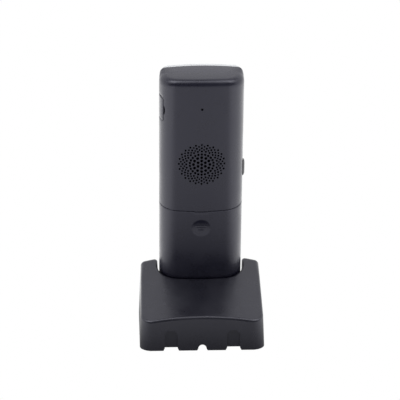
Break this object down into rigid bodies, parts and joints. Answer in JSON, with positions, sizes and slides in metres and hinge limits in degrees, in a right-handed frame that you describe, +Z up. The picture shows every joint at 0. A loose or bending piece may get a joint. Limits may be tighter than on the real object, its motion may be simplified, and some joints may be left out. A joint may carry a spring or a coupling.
{
  "type": "cordless telephone with charging cradle",
  "caption": "Cordless telephone handset with display and keypad, leaning back in the well of a wedge-shaped desk charging cradle.",
  "frame": {"origin": "centre of the cradle's footprint, on the table", "axes": "+Z up, -Y towards the person who faces the keypad, +Y the back with the cable notch, +X the side with the headset cover"},
  "size_m": [0.079, 0.0736, 0.1819],
  "materials": {
    "handset_plastic": "satin, very fine grain",
    "cradle_plastic": "satin, fine grain",
    "silver_plastic": "silver lacquer, satin",
    "window_plastic": "polished",
    "display_panel": "polished",
    "key_plastic": "satin",
    "key_silicone": "matte",
    "cover_rubber": "matte",
    "foot_rubber": "matte",
    "screw_steel": "nickel plated",
    "contact_metal": "gold plated",
    "circuit_board": "solder mask",
    "socket_plastic": "matte",
    "speaker_frame": "matte",
    "cell_jacket": "shrink sleeve"
  },
  "bodies": {
    "cradle": {"cradle_housing": "cradle_plastic", "cradle_base_plate": "cradle_plastic", "cradle_feet": "foot_rubber", "cradle_screws": "screw_steel", "charging_board": "circuit_board", "power_inlet": "socket_plastic"},
    "handset": {"rear_case": "handset_plastic", "front_case": "handset_plastic", "front_frame": "silver_plastic", "display_window": "window_plastic", "display_module": "display_panel", "main_board": "circuit_board", "key_mat": "key_silicone", "receiver": "screw_steel", "loudspeaker": "speaker_frame", "microphone": "screw_steel", "rear_microphone": "screw_steel", "battery_cell_left": "cell_jacket", "battery_cell_right": "cell_jacket", "battery_springs": "screw_steel", "battery_plates": "screw_steel", "charging_pads": "contact_metal", "headset_jack": "socket_plastic", "case_screws": "screw_steel", "antenna": "contact_metal"},
    "battery_cover": {"battery_cover": "handset_plastic"},
    "headset_cover": {"headset_cover": "cover_rubber"},
    "side_key": {"side_key": "key_plastic"},
    "charging_contact_left": {"charging_contact_left": "contact_metal"},
    "charging_contact_right": {"charging_contact_right": "contact_metal"},
    "key_star": {"key_star": "key_plastic"},
    "key_0": {"key_0": "key_plastic"},
    "key_hash": {"key_hash": "key_plastic"},
    "key_7": {"key_7": "key_plastic"},
    "key_8": {"key_8": "key_plastic"},
    "key_9": {"key_9": "key_plastic"},
    "key_4": {"key_4": "key_plastic"},
    "key_5": {"key_5": "key_plastic"},
    "key_6": {"key_6": "key_plastic"},
    "key_1": {"key_1": "key_plastic"},
    "key_2": {"key_2": "key_plastic"},
    "key_3": {"key_3": "key_plastic"},
    "key_talk": {"key_talk": "key_plastic"},
    "key_end": {"key_end": "key_plastic"},
    "key_menu_left": {"key_menu_left": "key_plastic"},
    "key_menu_right": {"key_menu_right": "key_plastic"},
    "key_ok": {"key_ok": "key_plastic"},
    "key_navigation": {"key_navigation": "key_plastic"}
  },
  "joints": [
    {"name": "handset_lift", "type": "slide", "parent": "cradle", "child": "handset", "axis": [0, 0.2385, 0.9711], "range_m": [0, 0.12]},
    {"name": "battery_cover_lift", "type": "slide", "parent": "handset", "child": "battery_cover", "axis": [0, 0.9711, -0.2385], "range_m": [0, 0.03]},
    {"name": "headset_cover_hinge", "type": "hinge", "parent": "handset", "child": "headset_cover", "pos_m": [0.02625, 0.01709, 0.15778], "axis": [0, -0.2385, -0.9711], "range_deg": [0, 100]},
    {"name": "side_key_press", "type": "slide", "parent": "handset", "child": "side_key", "axis": [1, 0, 0], "range_m": [0, 0.0006], "stiffness_N_per_m": 900},
    {"name": "charging_contact_left_flex", "type": "hinge", "parent": "cradle", "child": "charging_contact_left", "pos_m": [0.0075, -0.0083, 0.0104], "axis": [1, 0, 0], "range_deg": [0, 5], "stiffness_Nm_per_rad": 0.05},
    {"name": "charging_contact_right_flex", "type": "hinge", "parent": "cradle", "child": "charging_contact_right", "pos_m": [-0.0075, -0.0083, 0.0104], "axis": [1, 0, 0], "range_deg": [0, 5], "stiffness_Nm_per_rad": 0.05},
    {"name": "key_star_press", "type": "slide", "parent": "handset", "child": "key_star", "axis": [0, 0.9711, -0.2385], "range_m": [0, 0.0004], "stiffness_N_per_m": 900},
    {"name": "key_0_press", "type": "slide", "parent": "handset", "child": "key_0", "axis": [0, 0.9711, -0.2385], "range_m": [0, 0.0004], "stiffness_N_per_m": 900},
    {"name": "key_hash_press", "type": "slide", "parent": "handset", "child": "key_hash", "axis": [0, 0.9711, -0.2385], "range_m": [0, 0.0004], "stiffness_N_per_m": 900},
    {"name": "key_7_press", "type": "slide", "parent": "handset", "child": "key_7", "axis": [0, 0.9711, -0.2385], "range_m": [0, 0.0004], "stiffness_N_per_m": 900},
    {"name": "key_8_press", "type": "slide", "parent": "handset", "child": "key_8", "axis": [0, 0.9711, -0.2385], "range_m": [0, 0.0004], "stiffness_N_per_m": 900},
    {"name": "key_9_press", "type": "slide", "parent": "handset", "child": "key_9", "axis": [0, 0.9711, -0.2385], "range_m": [0, 0.0004], "stiffness_N_per_m": 900},
    {"name": "key_4_press", "type": "slide", "parent": "handset", "child": "key_4", "axis": [0, 0.9711, -0.2385], "range_m": [0, 0.0004], "stiffness_N_per_m": 900},
    {"name": "key_5_press", "type": "slide", "parent": "handset", "child": "key_5", "axis": [0, 0.9711, -0.2385], "range_m": [0, 0.0004], "stiffness_N_per_m": 900},
    {"name": "key_6_press", "type": "slide", "parent": "handset", "child": "key_6", "axis": [0, 0.9711, -0.2385], "range_m": [0, 0.0004], "stiffness_N_per_m": 900},
    {"name": "key_1_press", "type": "slide", "parent": "handset", "child": "key_1", "axis": [0, 0.9711, -0.2385], "range_m": [0, 0.0004], "stiffness_N_per_m": 900},
    {"name": "key_2_press", "type": "slide", "parent": "handset", "child": "key_2", "axis": [0, 0.9711, -0.2385], "range_m": [0, 0.0004], "stiffness_N_per_m": 900},
    {"name": "key_3_press", "type": "slide", "parent": "handset", "child": "key_3", "axis": [0, 0.9711, -0.2385], "range_m": [0, 0.0004], "stiffness_N_per_m": 900},
    {"name": "key_talk_press", "type": "slide", "parent": "handset", "child": "key_talk", "axis": [0, 0.9711, -0.2385], "range_m": [0, 0.0004], "stiffness_N_per_m": 900},
    {"name": "key_end_press", "type": "slide", "parent": "handset", "child": "key_end", "axis": [0, 0.9711, -0.2385], "range_m": [0, 0.0004], "stiffness_N_per_m": 900},
    {"name": "key_menu_left_press", "type": "slide", "parent": "handset", "child": "key_menu_left", "axis": [0, 0.9711, -0.2385], "range_m": [0, 0.0004], "stiffness_N_per_m": 900},
    {"name": "key_menu_right_press", "type": "slide", "parent": "handset", "child": "key_menu_right", "axis": [0, 0.9711, -0.2385], "range_m": [0, 0.0004], "stiffness_N_per_m": 900},
    {"name": "key_ok_press", "type": "slide", "parent": "handset", "child": "key_ok", "axis": [0, 0.9711, -0.2385], "range_m": [0, 0.0004], "stiffness_N_per_m": 900},
    {"name": "key_navigation_press", "type": "slide", "parent": "handset", "child": "key_navigation", "axis": [0, 0.9711, -0.2385], "range_m": [0, 0.0004], "stiffness_N_per_m": 900}
  ]
}
